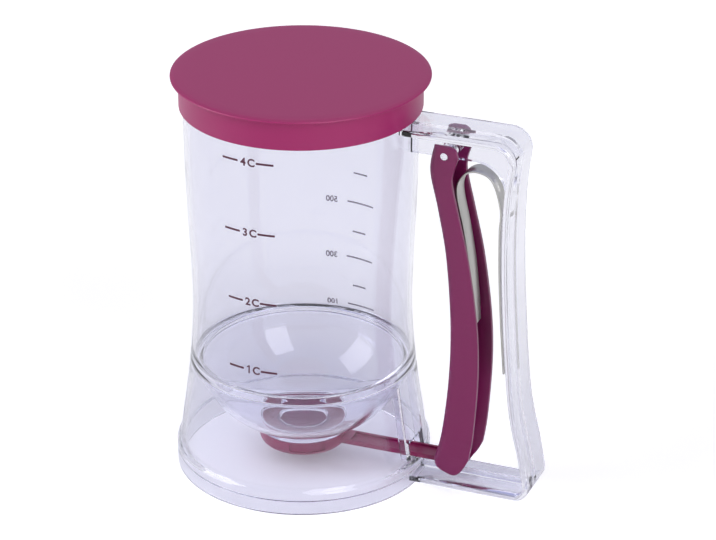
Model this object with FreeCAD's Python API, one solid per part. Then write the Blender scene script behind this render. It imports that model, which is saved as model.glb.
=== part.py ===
import FreeCAD, Part
import math
import os

# A hand-held batter dispenser. A clear moulded cup stands on a flared skirt and has a bowl-shaped
# floor with an outlet, a looped handle with a trigger in it, and a push-on lid. The trigger draws a
# slide valve sideways from under the outlet, and a leaf spring in the handle pushes it back.
# Sizes are in millimetres. The origin is on the cup's axis at the plane that it stands on, Z is up
# and the handle is on the +X side.

# Clear cup and skirt
wall = 2.0
cup_rim_height = 184.0
cup_rim_spread = 2.7
waist_height = 81.2
waist_radius = 48.4
rim_pull = 60.0
waist_pull_up = 20.0
waist_pull_down = 22.0
flare_pull = 30.0
flare_slope = 0.145

# Foot band that the cup stands on
foot_spread = 8.4
foot_step = 1.4
foot_wall = 2.4
foot_height = 11.7
foot_recess_depth = 6.0
foot_edge = 0.5

# Bowl-shaped floor and the shoulder that carries it
shoulder_top = 52.7
shoulder_thickness = 3.0
shoulder_dip = 0.7
bowl_set_in = 2.2
bowl_depth = 37.3
bowl_split = 18.0
seat_radius = 20.0
seat_floor_top = 19.0
outlet_radius = 10.8

# Window in the skirt for the valve's arm, with a jamb on each side of it
window_width = 16.6
window_top = 19.6
jamb_thickness = 1.5
jamb_depth = 3.5

# Looped handle of T section
handle_width = 24.4
strap = 2.6
web = 3.0
handle_below_lid = 0.4
handle_bottom = 3.4
corner_radius = 9.2
heel_radius = 6.5
top_web_depth = 10.3
grip_web_depth = 3.0
bottom_rib_height = 2.0
web_corner_radius = 13.8
handle_joint_drop = 1.0
grip_stand_off = 29.7
grip_top_flare = 2.4
grip_heel_flare = 11.9
# How far up the grip, and how much of the heel's flare it has there
grip_bow = [(0.892, 0.042), (0.7135, 0.0), (0.4957, 0.118), (0.2515, 0.37), (0.0904, 0.79)]

# Lid
lid_lip_radius = 56.0
lid_thickness = 1.4
lid_border = 5.0
lid_edge = 0.6
lid_wall = 1.3
lid_depth = 13.2
lid_fit = 0.2
plug_rib_radius = 47.6
plug_rib_wall = 1.2
plug_rib_depth = 3.0

# Trigger and its axle
pivot_stand_off = 18.0
pivot_drop = 7.2
axle_radius = 1.6
axle_press = 0.02
axle_running = 0.06
axle_inset = 0.3
boss_radius = 3.4
trigger_width = 20.6
cheek = 2.0
finger_wall = 2.0
trigger_foot = 9.4
trigger_floor = 2.0
head_rise = 4.5
head_front = -5.2
head_flat = 2.3
head_back = 6.2
head_back_drop = 0.5
finger_wall_top_drop = 6.8
finger_edge_round = 4.0
trigger_sweep = 16.6
toe_height = 8.5
# How far down the trigger from its pivot, and how much of its sweep its edge is out there
front_edge = [(0.0515, -0.428), (0.167, -0.205), (0.3137, 0.036), (0.5205, 0.178), (0.699, 0.145),
              (0.875, -0.03)]
back_edge = [(0.048, 0.247), (0.0905, 0.223), (0.193, 0.434), (0.3355, 0.723), (0.5205, 0.952), (0.679, 1.0),
             (0.8554, 0.898)]
# The same for the toe, with how much of the toe's height it is up there
toe_front = (-0.217, 0.788)
toe_round = [(-0.114, 0.365), (0.343, 0.0), (0.596, 0.318)]
toe_back = (0.783, 1.0)

# Slide valve under the outlet
slide_clearance = 0.3
valve_radius = 19.85
valve_rim_height = 15.65
valve_height = 7.15
valve_wall = 1.85
valve_round = 4.2
seal_thickness = 2.2
seal_clearance = 0.1
seal_land = 1.4
pocket_depth = 0.9
pocket_height = 3.6
pocket_width = 14.0
arm_width = 9.6
arm_thickness = 2.1
arm_rim = 1.2
arm_recess = 0.9
arm_recess_start = 24.0
knuckle_offset = 3.4
knuckle_rise = 1.15
knuckle_radius = 2.4
knuckle_gap = 3.0
link_pin_radius = 1.5
link_clearance = 0.5
link_drop = 1.7
slot_depth = 1.2

# Leaf spring
spring_width = 9.0
spring_thickness = 0.8
spring_seat_gap = 0.3
spring_arch_gap = 3.0
spring_tip_height = 60.4
spring_inner_tip_height = 81.0
spring_ledge_thickness = 2.0
spring_inset = 6.5

# Places that follow from the sizes above
cup_rim_radius = waist_radius + cup_rim_spread
foot_radius = waist_radius + foot_spread
flare_radius = foot_radius - foot_step
bowl_radius = waist_radius - bowl_set_in
pivot_x = cup_rim_radius + pivot_stand_off
grip_reach = pivot_x + grip_stand_off
knuckle_x = pivot_x + knuckle_offset
seat_bottom = valve_rim_height + slide_clearance
shoulder_bottom = shoulder_top - shoulder_thickness
bowl_rim = shoulder_top - shoulder_dip
arm_bottom = foot_height + slide_clearance
arm_top = arm_bottom + arm_thickness
lid_underside = cup_rim_height + lid_fit
handle_top = lid_underside - lid_depth - handle_below_lid
valve_bottom = valve_rim_height - valve_height
strap_underside = handle_top - strap
pivot_height = strap_underside - pivot_drop
web_bottom = strap_underside - top_web_depth
grip_low = handle_bottom + heel_radius
grip_high = handle_top - corner_radius
corner_x = grip_reach + grip_top_flare - corner_radius
heel_x = grip_reach + grip_heel_flare - heel_radius
cheek_inside = trigger_width / 2 - cheek
knuckle_height = (arm_bottom + arm_top) / 2 + knuckle_rise
trigger_drop = pivot_height - trigger_foot
FAR = 200.0


def at(x, z):
    return FreeCAD.Vector(x, 0, z)


def line(start, end):
    return Part.makeLine(at(*start), at(*end))


def arc(start, middle, end):
    return Part.Arc(at(*start), at(*middle), at(*end)).toShape()


def bezier(*poles):
    curve = Part.BezierCurve()
    curve.setPoles([at(*pole) for pole in poles])
    return curve.toShape()


def smooth(points, first=None, last=None):
    curve = Part.BSplineCurve()
    places = [at(*point) for point in points]
    if first and last:
        curve.interpolate(Points=places, InitialTangent=at(*first), FinalTangent=at(*last))
    else:
        curve.interpolate(places)
    return curve


def chain(*points):
    return [line(a, b) for a, b in zip(points, points[1:])]


def face(edges):
    return Part.Face(Part.Wire(edges))


def turned(edges):
    return face(edges).revolve(FreeCAD.Vector(0, 0, 0), FreeCAD.Vector(0, 0, 1), 360)


def across(edges, width, middle=0.0):
    flat = face(edges)
    flat.translate(FreeCAD.Vector(0, middle - width / 2, 0))
    return flat.extrude(FreeCAD.Vector(0, width, 0))


def block(x0, x1, y0, y1, z0, z1):
    return Part.makeBox(x1 - x0, y1 - y0, z1 - z0, FreeCAD.Vector(x0, y0, z0))


def rod(x, z, radius, length):
    base = FreeCAD.Vector(x, -length / 2, z)
    return Part.makeCylinder(radius, length, base, FreeCAD.Vector(0, 1, 0))


def slab(low, high):
    return Part.makeCylinder(FAR, high - low, FreeCAD.Vector(0, 0, low))


def height_on(curve, height):
    # The point of a curve that climbs or falls all the way, at one height
    low, high = curve.FirstParameter, curve.LastParameter
    rising = curve.value(high).z > curve.value(low).z
    for _ in range(50):
        middle = (low + high) / 2
        if (curve.value(middle).z < height) == rising:
            low = middle
        else:
            high = middle
    return curve.value(low).x


# Clear moulding

def outside_curves(inset):
    # Upper and lower stretch of the wall's profile, drawn in by the inset
    rim = cup_rim_radius - inset
    waist = waist_radius - inset
    flare = flare_radius - inset
    upper = bezier((rim, cup_rim_height), (rim, cup_rim_height - rim_pull),
                   (waist, waist_height + waist_pull_up), (waist, waist_height))
    lower = bezier((waist, waist_height), (waist, waist_height - waist_pull_down),
                   (flare - flare_slope * flare_pull, foot_height + flare_pull), (flare, foot_height))
    return [upper, lower]


def filled_body(inset):
    edges = outside_curves(inset)
    edges += chain((flare_radius - inset, foot_height), (0, foot_height), (0, cup_rim_height),
                   (cup_rim_radius - inset, cup_rim_height))
    return turned(edges)


def bowl_ellipse(inset, reach):
    # Quarter of the bowl's profile, from its rim in to the given radius, and the height there
    radius = bowl_radius - inset
    depth = bowl_depth - inset
    ellipse = Part.Ellipse(at(radius, bowl_rim), at(0, bowl_rim - depth), at(0, bowl_rim))
    turn = math.acos(reach / radius)
    return Part.ArcOfEllipse(ellipse, 0, turn).toShape(), bowl_rim - depth * math.sin(turn)


def make_cup_wall(body_shell):
    return body_shell.common(slab(shoulder_top, cup_rim_height))


def make_base_skirt(body_shell):
    skirt = body_shell.common(slab(foot_height, shoulder_bottom))
    half = window_width / 2
    return skirt.cut(block(0, FAR, -half, half, foot_height, window_top))


def make_shoulder_ring(body):
    edges = chain((bowl_radius, shoulder_bottom), (FAR, shoulder_bottom), (FAR, shoulder_top),
                  (waist_radius - wall, shoulder_top), (bowl_radius - wall, bowl_rim),
                  (bowl_radius, bowl_rim), (bowl_radius, shoulder_bottom))
    return turned(edges).common(body)


def make_whole_bowl():
    outer, outer_low = bowl_ellipse(0, seat_radius)
    inner, inner_low = bowl_ellipse(wall, seat_radius)
    edges = [outer, line((seat_radius, outer_low), (seat_radius, inner_low)), inner,
             line((bowl_radius - wall, bowl_rim), (bowl_radius, bowl_rim))]
    return turned(Part.__sortEdges__(edges))


def make_outlet_seat():
    outer_low = bowl_ellipse(0, seat_radius)[1]
    inner_low = bowl_ellipse(wall, seat_radius)[1]
    depth = (bowl_depth - wall)
    dip = bowl_rim - seat_floor_top
    floor_reach = (bowl_radius - wall) * math.sqrt(1 - (dip / depth) ** 2)
    middle_reach = (floor_reach + seat_radius) / 2
    middle_low = bowl_ellipse(wall, middle_reach)[1]
    edges = chain((seat_radius, inner_low), (seat_radius, outer_low), (seat_radius, seat_bottom),
                  (outlet_radius, seat_bottom), (outlet_radius, seat_floor_top),
                  (floor_reach, seat_floor_top))
    edges.append(arc((floor_reach, seat_floor_top), (middle_reach, middle_low), (seat_radius, inner_low)))
    return turned(edges)


def make_foot_band():
    inside = foot_radius - foot_wall
    step = foot_radius - flare_radius
    top_inside = flare_radius - wall
    lean = step * (1 - math.sqrt(0.5))
    edges = chain((flare_radius, foot_height), (top_inside, foot_height), (top_inside, foot_recess_depth),
                  (inside, foot_recess_depth), (inside, 0), (foot_radius - foot_edge, 0),
                  (foot_radius, foot_edge), (foot_radius, foot_height - step))
    edges.append(arc((foot_radius, foot_height - step), (foot_radius - lean, foot_height - lean),
                     (flare_radius, foot_height)))
    return turned(edges)


def make_window_jambs():
    lining = filled_body(wall).cut(filled_body(wall + jamb_depth))
    bowl = Part.makeSphere(1.0)
    stretch = FreeCAD.Matrix()
    stretch.scale(bowl_radius, bowl_radius, bowl_depth)
    bowl = bowl.transformGeometry(stretch)
    bowl.translate(at(0, bowl_rim))
    jambs = []
    for side in (-1, 1):
        near = side * window_width / 2
        far = side * (window_width / 2 + jamb_thickness)
        post = block(0, FAR, min(near, far), max(near, far), foot_height, shoulder_bottom)
        jambs.append(post.common(lining).cut(bowl))
    return Part.Compound([solid for jamb in jambs for solid in jamb.Solids])


# Handle

def grip_line(shift):
    # The grip's outer face moved in by the shift, from its top down to the heel
    height = grip_high - grip_low
    points = [(grip_reach + grip_top_flare - shift, grip_high)]
    points += [(grip_reach + share * grip_heel_flare - shift, grip_low + up * height) for up, share in grip_bow]
    points.append((grip_reach + grip_heel_flare - shift, grip_low))
    return smooth(points, (0, -1), (0, -1))


def bend(x, z, radius, start, end):
    # Part of a circle in the XZ plane, with its angles counted from +X towards +Z
    middle = (start + end) / 2
    places = [(x + radius * math.cos(turn), z + radius * math.sin(turn)) for turn in (start, middle, end)]
    return arc(*places)


def loop_edges(shift):
    # One face of the strap, from the cup along the top arm, down the grip and back along the bottom
    quarter = math.pi / 2
    top = handle_top - shift
    bottom = handle_bottom + shift
    return [line((0, top), (corner_x, top)),
            bend(corner_x, grip_high, corner_radius - shift, quarter, 0),
            grip_line(shift).toShape(),
            bend(heel_x, grip_low, heel_radius - shift, 0, -quarter),
            line((heel_x, bottom), (0, bottom))]


def web_edges():
    # The free edge of the web, with a round gusset in the top corner
    inset = strap + grip_web_depth
    curve = grip_line(inset)
    start_height = web_bottom - web_corner_radius
    start_x = height_on(curve, start_height)
    rib_top = handle_bottom + strap + bottom_rib_height
    end_x = grip_reach + grip_heel_flare - inset
    low = curve.copy()
    low.segment(parameter_at(curve, start_height), curve.LastParameter)
    return [line((0, web_bottom), (start_x - web_corner_radius, web_bottom)),
            bend(start_x - web_corner_radius, start_height, web_corner_radius, math.pi / 2, 0),
            low.toShape(),
            line((end_x, grip_low), (end_x - bottom_rib_height, rib_top)),
            line((end_x - bottom_rib_height, rib_top), (0, rib_top))]


def parameter_at(curve, height):
    return curve.parameter(at(height_on(curve, height), height))


def make_handle_loop(body):
    outer = loop_edges(0)
    inner = loop_edges(strap)
    ends = [line((0, handle_top), (0, strap_underside)),
            line((0, handle_bottom), (0, handle_bottom + strap))]
    strap_solid = across(Part.__sortEdges__(outer + inner + ends), handle_width)
    rib_top = handle_bottom + strap + bottom_rib_height
    web_ends = [line((0, handle_top), (0, web_bottom)), line((0, handle_bottom), (0, rib_top))]
    web_solid = across(Part.__sortEdges__(outer + web_edges() + web_ends), web)
    boss = rod(pivot_x, pivot_height, boss_radius, 2 * (cheek_inside - slide_clearance))
    loop = strap_solid.fuse([web_solid, boss])
    loop = loop.cut(rod(pivot_x, pivot_height, axle_radius + axle_press, trigger_width))
    foot = Part.makeCylinder(foot_radius, foot_height)
    return loop.cut(body.fuse(foot)).removeSplitter()


def loop_part(loop, x0, x1, z0, z1):
    return loop.common(block(x0, x1, -handle_width, handle_width, z0, z1))


def make_pivot_axle():
    return rod(pivot_x, pivot_height, axle_radius, trigger_width - 2 * axle_inset)


# Lid

def make_lid():
    top = lid_underside + lid_thickness
    skirt = cup_rim_radius + lid_fit
    low = lid_underside - lid_depth
    plug = plug_rib_radius - plug_rib_wall
    plug_low = lid_underside - plug_rib_depth
    border = lid_lip_radius - lid_border
    edges = chain((0, lid_underside), (0, top), (border, top))
    edges.append(arc((border, top), (lid_lip_radius - lid_border / 3, top - lid_edge / 4),
                     (lid_lip_radius, top - lid_edge)))
    edges += chain((lid_lip_radius, top - lid_edge), (lid_lip_radius, lid_underside),
                   (skirt + lid_wall, lid_underside), (skirt + lid_wall, low), (skirt, low),
                   (skirt, lid_underside), (plug_rib_radius, lid_underside), (plug_rib_radius, plug_low),
                   (plug, plug_low), (plug, lid_underside), (0, lid_underside))
    return turned(edges)


# Trigger

def edge_point(down, out, shift=0.0):
    return pivot_x + out * trigger_sweep + shift, pivot_height - down * trigger_drop


def toe_point(out, up, shift=0.0):
    return pivot_x + out * trigger_sweep + shift, trigger_foot + up * toe_height


def front_points(shift):
    points = [(pivot_x + head_front + shift, pivot_height + head_rise)]
    points += [edge_point(down, out, shift) for down, out in front_edge]
    points.append(toe_point(*toe_front, shift))
    return points


def back_curve():
    points = [(pivot_x + head_back, pivot_height - head_back_drop)]
    points += [edge_point(down, out) for down, out in back_edge]
    points.append(toe_point(*toe_back))
    return smooth(points)


def trigger_outline():
    head_top = pivot_height + head_rise
    head_side = (pivot_x + head_back, pivot_height - head_back_drop)
    flat_end = (pivot_x + head_flat, head_top)
    bulge = (pivot_x + head_back * 0.83, pivot_height + head_rise * 0.71)
    toe = [toe_point(out, up) for out, up in [toe_back] + toe_round[::-1] + [toe_front]]
    front = front_points(0)
    return [line(front[0], flat_end), arc(flat_end, bulge, head_side), back_curve().toShape(),
            smooth(toe).toShape(), smooth(list(reversed(front))).toShape()]


def trigger_channel():
    # The hollow between the cheeks, open towards the grip, above the finger wall and round the link
    inner = smooth(front_points(finger_wall))
    wall_top = pivot_height - finger_wall_top_drop
    inner.segment(parameter_at(inner, wall_top), inner.LastParameter)
    top_x = inner.value(inner.FirstParameter)
    low_x = inner.value(inner.LastParameter)
    floor_top = trigger_foot + trigger_floor
    floor_start = knuckle_x + knuckle_radius + knuckle_gap / 2
    edges = [inner.toShape()]
    edges += chain((low_x.x, low_x.z), (0, low_x.z), (0, 0), (floor_start, 0), (floor_start, floor_top),
                   (FAR, floor_top), (FAR, FAR), (0, FAR), (0, top_x.z), (top_x.x, top_x.z))
    return across(Part.__sortEdges__(edges), 2 * cheek_inside)


def spring_x(height):
    # The spring's inner leg runs inside the channel, deeper in towards its tip
    back = height_on(back_curve(), height)
    share = (pivot_height - height) / trigger_drop
    return back - spring_inset * share


def make_trigger_lever():
    lever = across(trigger_outline(), trigger_width)
    half = trigger_width / 2
    front_rounds = [edge for edge in lever.Edges
                    if abs(abs(edge.CenterOfMass.y) - half) < 0.01 and edge.Length > trigger_drop / 2
                    and edge.CenterOfMass.x < pivot_x + trigger_sweep / 4]
    lever = lever.makeFillet(finger_edge_round, front_rounds)
    lever = lever.cut(trigger_channel())
    lever = lever.cut(rod(pivot_x, pivot_height, axle_radius + axle_running, FAR))
    slot_half = link_pin_radius + link_clearance
    slot_low = knuckle_height - link_pin_radius - link_drop - slide_clearance
    slot_high = knuckle_height + link_pin_radius + slide_clearance
    slot_end = cheek_inside + slot_depth
    lever = lever.cut(block(knuckle_x - slot_half, knuckle_x + slot_half, -slot_end, slot_end,
                            slot_low, slot_high))
    ledge_top = spring_inner_tip_height + 2 * spring_ledge_thickness
    ledge_front = height_on(smooth(front_points(finger_wall / 2)), ledge_top)
    ledge_back = spring_x(ledge_top) - spring_thickness / 2 - slide_clearance
    ledge = block(ledge_front, ledge_back, -cheek_inside, cheek_inside,
                  ledge_top - spring_ledge_thickness, ledge_top)
    return lever.fuse(ledge)


# Slide valve

def make_valve_dish():
    # A shallow cap, open below, with a curled lower edge and a recess on top for the seal
    inside = valve_radius - valve_wall
    seal_low = valve_rim_height - seal_thickness
    roof = seal_low - valve_wall
    recess = outlet_radius + seal_land + seal_clearance
    lip = valve_radius - valve_round
    curl = valve_bottom + valve_round
    edges = [bend(lip, curl, valve_round, -math.pi / 2, 0)]
    edges += chain((valve_radius, curl), (valve_radius, valve_rim_height), (recess, valve_rim_height),
                   (recess, seal_low), (0, seal_low), (0, roof), (inside, roof), (inside, curl))
    edges.append(bend(lip, curl, valve_round - valve_wall, 0, -math.pi / 2))
    edges.append(line((lip, valve_bottom + valve_wall), (lip, valve_bottom)))
    dish = turned(edges)
    ring = Part.makeCylinder(FAR, pocket_height, at(0, arm_bottom - pocket_height / 4))
    ring = ring.cut(Part.makeCylinder(valve_radius - pocket_depth, FAR, at(0, 0)))
    for side in (-1, 1):
        low = min(0, side * FAR)
        pocket = ring.common(block(arm_rim, arm_rim + pocket_width, low, low + FAR, 0, FAR))
        dish = dish.cut(pocket)
    return dish


def make_valve_seal():
    radius = outlet_radius + seal_land
    return Part.makeCylinder(radius, seal_thickness, at(0, valve_rim_height - seal_thickness))


def make_valve_arm():
    half = arm_width / 2
    bar = block(0, knuckle_x, -half, half, arm_bottom, arm_top)
    tray = block(arm_recess_start, knuckle_x - knuckle_radius - arm_rim, -half + arm_rim, half - arm_rim,
                 arm_top - arm_recess, arm_top)
    knuckle = rod(knuckle_x, knuckle_height, knuckle_radius, arm_width)
    arm = bar.cut(tray).fuse(knuckle)
    arm = arm.cut(Part.makeCylinder(valve_radius, FAR, at(0, 0)))
    return arm.cut(rod(knuckle_x, knuckle_height, link_pin_radius + axle_press, FAR)).removeSplitter()


def make_link_pin():
    length = 2 * (cheek_inside + slot_depth - slide_clearance)
    return rod(knuckle_x, knuckle_height, link_pin_radius, length)


# Leaf spring

def spring_middle():
    # The strip's middle line: inner leg, arch under the web, and outer leg down the grip
    seat = strap + grip_web_depth + spring_seat_gap + spring_thickness / 2
    outer = grip_line(seat)
    arch_top = web_bottom - spring_arch_gap - spring_thickness / 2
    arch_low = web_bottom - web_corner_radius
    inner_x = spring_x(arch_low)
    outer_x = height_on(outer, arch_low)
    rise = arch_top - arch_low
    span = outer_x - inner_x
    leg = [spring_inner_tip_height + share * (arch_low - spring_inner_tip_height) for share in (0, 0.46, 0.75)]
    points = [(spring_x(height), height) for height in leg]
    points += [(inner_x, arch_low), (inner_x + 0.15 * span, arch_low + 0.76 * rise),
               (inner_x + 0.44 * span, arch_top), (inner_x + 0.79 * span, arch_low + 0.70 * rise)]
    drop = arch_low - spring_tip_height
    points += [(height_on(outer, arch_low - share * drop), arch_low - share * drop)
               for share in (0.06, 0.2, 0.4, 0.6, 0.8, 1)]
    return smooth(points)


def make_leaf_spring():
    middle = spring_middle()
    count = 24
    sides = ([], [])
    for step in range(count + 1):
        turn = middle.FirstParameter + (middle.LastParameter - middle.FirstParameter) * step / count
        place = middle.value(turn)
        along = middle.tangent(turn)[0]
        for side, points in zip((-1, 1), sides):
            shift = side * spring_thickness / 2
            points.append((place.x - along.z * shift, place.z + along.x * shift))
    ends = [line(sides[0][0], sides[1][0]), line(sides[0][-1], sides[1][-1])]
    edges = [smooth(points).toShape() for points in sides]
    return across(Part.__sortEdges__(edges + ends), spring_width)


def save(name, shape):
    shape.exportStep("parts/" + name + ".step")
    print(name, len(shape.Solids), shape.isValid(), round(shape.Volume, 1))


def main():
    os.makedirs("parts", exist_ok=True)
    body = filled_body(0)
    body_shell = body.cut(filled_body(wall))
    save("cup_wall", make_cup_wall(body_shell))
    save("shoulder_ring", make_shoulder_ring(body))
    bowl = make_whole_bowl()
    save("bowl_wall", bowl.common(slab(bowl_rim - bowl_split, bowl_rim)))
    save("bowl_base", bowl.common(slab(0, bowl_rim - bowl_split)))
    save("outlet_seat", make_outlet_seat())
    save("base_skirt", make_base_skirt(body_shell))
    save("foot_band", make_foot_band())
    save("window_jambs", make_window_jambs())
    loop = make_handle_loop(body)
    corner_low = web_bottom - web_corner_radius
    arm_cut = web_bottom - handle_joint_drop
    save("handle_top_arm", loop_part(loop, 0, corner_x, arm_cut, FAR))
    corner = loop_part(loop, 0, FAR, corner_low, FAR).cut(block(0, corner_x, -FAR, FAR, arm_cut, FAR))
    save("handle_corner", corner)
    save("handle_grip", loop_part(loop, pivot_x, FAR, grip_low, corner_low))
    save("handle_heel", loop_part(loop, heel_x, FAR, -1, grip_low))
    save("handle_bottom_arm", loop_part(loop, 0, heel_x, -1, grip_low))
    save("pivot_axle", make_pivot_axle())
    save("lid", make_lid())
    save("trigger_lever", make_trigger_lever())
    save("valve_dish", make_valve_dish())
    save("valve_seal", make_valve_seal())
    save("valve_arm", make_valve_arm())
    save("link_pin", make_link_pin())
    save("leaf_spring", make_leaf_spring())


main()
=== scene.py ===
import math

import bmesh
import bpy
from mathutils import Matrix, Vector


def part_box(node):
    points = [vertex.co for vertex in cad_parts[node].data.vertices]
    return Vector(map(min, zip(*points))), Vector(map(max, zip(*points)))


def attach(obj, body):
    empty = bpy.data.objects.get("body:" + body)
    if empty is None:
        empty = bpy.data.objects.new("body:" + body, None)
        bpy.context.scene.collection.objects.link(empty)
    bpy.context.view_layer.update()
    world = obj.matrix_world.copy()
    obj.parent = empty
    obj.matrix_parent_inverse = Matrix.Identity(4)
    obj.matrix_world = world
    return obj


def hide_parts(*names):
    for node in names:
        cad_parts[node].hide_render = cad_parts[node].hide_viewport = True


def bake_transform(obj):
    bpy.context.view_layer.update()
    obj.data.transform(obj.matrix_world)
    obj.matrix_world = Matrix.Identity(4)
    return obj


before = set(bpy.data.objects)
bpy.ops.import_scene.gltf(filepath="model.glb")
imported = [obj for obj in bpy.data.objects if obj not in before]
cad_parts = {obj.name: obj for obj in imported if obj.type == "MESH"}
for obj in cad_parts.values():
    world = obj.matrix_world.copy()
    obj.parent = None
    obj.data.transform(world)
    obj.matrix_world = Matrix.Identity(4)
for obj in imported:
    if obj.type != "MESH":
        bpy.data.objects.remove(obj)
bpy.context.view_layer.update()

MM = 0.001


def box_min(node, axis):
    # The near side of a CAD node's box, in millimetres
    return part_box(node)[0]["xyz".index(axis)] / MM


def box_max(node, axis):
    # The far side of a CAD node's box, in millimetres
    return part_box(node)[1]["xyz".index(axis)] / MM


# Camera, at the place that the photograph was taken from, in degrees and millimetres
CAMERA_TURN = 21.7456
CAMERA_RISE = 25.4355
CAMERA_DISTANCE = 1387.25
CAMERA_SIDE = 24.38
CAMERA_HEIGHT = 91.56
CAMERA_LENS = 158.71
SENSOR_WIDTH = 36.0

# Each lamp's place, what it points at, its width and height in metres, its power in watts,
# and whether it shows only as a gleam, in the bowl and on the lid
LAMPS = [
    ("left_box", (-1.1, -0.65, 0.65), (0, 0, 0.08), (0.75, 1.3), 8.5, False),
    ("right_box", (1.1, -0.75, 0.7), (0, 0, 0.08), (0.7, 1.3), 8.5, False),
    ("top_box", (0.1, 0.5, 1.4), (0, 0, 0.1), (1.0, 0.8), 2, False),
    ("left_panel", (-1.25, -0.75, 0.75), (0, 0, 0.08), (0.95, 1.9), 17, True),
    ("right_panel", (1.0, -1.05, 0.8), (0, 0, 0.08), (0.9, 1.9), 15, True)]

# Light from all around, and the sweep seen through the plastic, which darkens between two heights of view
WORLD_GLOW = 0.42
MIRRORED_GLOW = 0.8
SWEEP_FROM = 0.3
SWEEP_TO = 0.85

# The floor's glow by distance in metres, first as the camera sees it, then as it is seen through the
# plastic or mirrored. Seen through the plastic or mirrored, it fades to nothing close to the jug: painted
# shade on the floor under it
FLOOR_SIZE = 6.0
FLOOR_GLOW = 0.42
FLOOR_FULL_GLOW = 1.0
FLOOR_GLOW_FROM = 0.2
FLOOR_GLOW_TO = 1.6
FLOOR_FAINT_GLOW = 0.0
FLOOR_FAR_GLOW = 0.32
FAINT_GLOW_FROM = 0.05
FAINT_GLOW_TO = 0.22

# Light is passed on many times inside the clear walls
LIGHT_BOUNCES = 24
GLOSS_BOUNCES = 16
CLEAR_BOUNCES = 32

# Grain of the satin mouldings, and the rolled lines of the strip, in millimetres
MOULD_GRAIN = 0.4
MOULD_GRAIN_DEPTH = 0.004
STRIP_LINE_GAP = 0.4
STRIP_LINE_LENGTH = 16.667

# Fineness of curves, and the angles in degrees above which an edge stays sharp
TURNS = 192
CYLINDER_TURNS = 48
WALL_STEPS = 24
FINE_WALL_STEPS = 40
BOWL_STEPS = 28
WEB_CORNER_STEPS = 16
TOE_STEPS = 8
CORE_ROUND_STEPS = 6
DASH_STEPS = 12
SHARP_ANGLE = 35.0
JUG_SHARP_ANGLE = 30.0
LID_SHARP_ANGLE = 40.0
BEVEL_ANGLE = 40.0

# A rounding takes at most this share of each side of its corner
ROUND_SHARE = 0.45
SMALLEST_ROUND = 0.001

# Clear jug, in millimetres
WALL = 2.0
RIM_HEIGHT = box_max("cup_wall", "z")
RIM_RADIUS = box_max("cup_wall", "x")
WAIST_HEIGHT = 81.2
WAIST_RADIUS = 48.4
RIM_PULL = 60.0
WAIST_PULL_UP = 20.0
WAIST_PULL_DOWN = 22.0
FLARE_RADIUS = 55.4
FLARE_PULL = 30.0
FLARE_SLOPE = 0.145
FOOT_RADIUS = box_max("foot_band", "x")
FOOT_HEIGHT = box_max("foot_band", "z")
FOOT_WALL = 2.4
FOOT_RECESS = 6.0
SHOULDER_TOP = box_max("shoulder_ring", "z")
SHOULDER_BOTTOM = box_min("shoulder_ring", "z")
BOWL_RADIUS = 46.2
BOWL_DEPTH = 37.3
BOWL_RIM = box_max("bowl_wall", "z")
SEAT_RADIUS = 20.0
SEAT_FLOOR_TOP = 19.0
SEAT_BOTTOM = box_min("outlet_seat", "z")
SEAT_STEP = 2.2
OUTLET_RADIUS = 10.8
WINDOW_HALF = 8.3
WINDOW_TOP = 19.6
WINDOW_NEAR = 45.0
WINDOW_FAR = 70.0
JAMB = 1.5
JAMB_DEPTH = 3.5
JAMB_LAP = 0.1
JAMB_SHORT = 1.0

# What each corner of the jug's profile is rounded to
RIM_ROUND = 0.7
FLARE_ROUND = 1.4
FOOT_TOP_ROUND = 1.6
FOOT_EDGE_ROUND = 0.8
RECESS_ROUND = 1.2
SHOULDER_ROUND = 1.6
BOWL_UNDER_ROUND = 1.2
BOWL_RIM_ROUND = 1.0
SEAT_TOP_ROUND = 0.4
SEAT_ROUND = 0.5
OUTLET_LOW_ROUND = 0.3
OUTLET_TOP_ROUND = 0.6

# How far a curve of the jug's profile stops short of a corner, so that the rounding has room
SHOULDER_LEAD = 1.5
SKIRT_LEAD = 0.25
CUP_LEAD = 0.2
BOWL_LEAD = 0.35
BOWL_INSIDE_LEAD = 0.05
SEAT_LEAD = 0.2
FLOOR_LEAD = 1.0
FLOOR_CURVE_LEAD = 0.6

# Handle
HANDLE_TOP = box_max("handle_top_arm", "z")
HANDLE_BOTTOM = box_min("handle_bottom_arm", "z")
HANDLE_HALF = 12.2
STRAP = 2.6
STRAP_EDGE = 0.7
STRAP_EDGE_STEPS = 3
STRAP_ROOT_TOP = 49.35
STRAP_ROOT_LOW = 54.9
ARM_RUN = 15.0
CORNER_RADIUS = 9.2
HEEL_RADIUS = 6.5
GRIP_LEAN = 4.0
WEB_HALF = 1.5
WEB_BOTTOM = box_min("handle_top_arm", "z")
WEB_ROOT_TOP = 50.0
WEB_ROOT_LOW = 55.3
WEB_CORNER = 13.8
WEB_CORNER_LAP = 0.02
WEB_HEEL = 3.0
WEB_HEEL_OUT = 0.6
WEB_HEEL_RISE = 1.2
GRIP_WEB = 3.0
RIB = 2.0
RIB_SWELL = 0.2
GRIP_REACH = 98.8
GRIP_TOP_FLARE = 2.4
GRIP_HEEL_FLARE = 11.9
# How high up the grip, and how far out its line is there
GRIP_BOW = [(0.892, 0.5), (0.7135, 0.0), (0.4957, 1.4), (0.2515, 4.4), (0.0904, 9.4)]
GRIP_LOW = HANDLE_BOTTOM + HEEL_RADIUS
GRIP_HIGH = HANDLE_TOP - CORNER_RADIUS
PIVOT = (69.1, 160.8)
BOSS_RADIUS = 3.4
BOSS_HALF = 8.0
JUG_BORE = 1.62
BORE_HALF = 20.0

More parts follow.
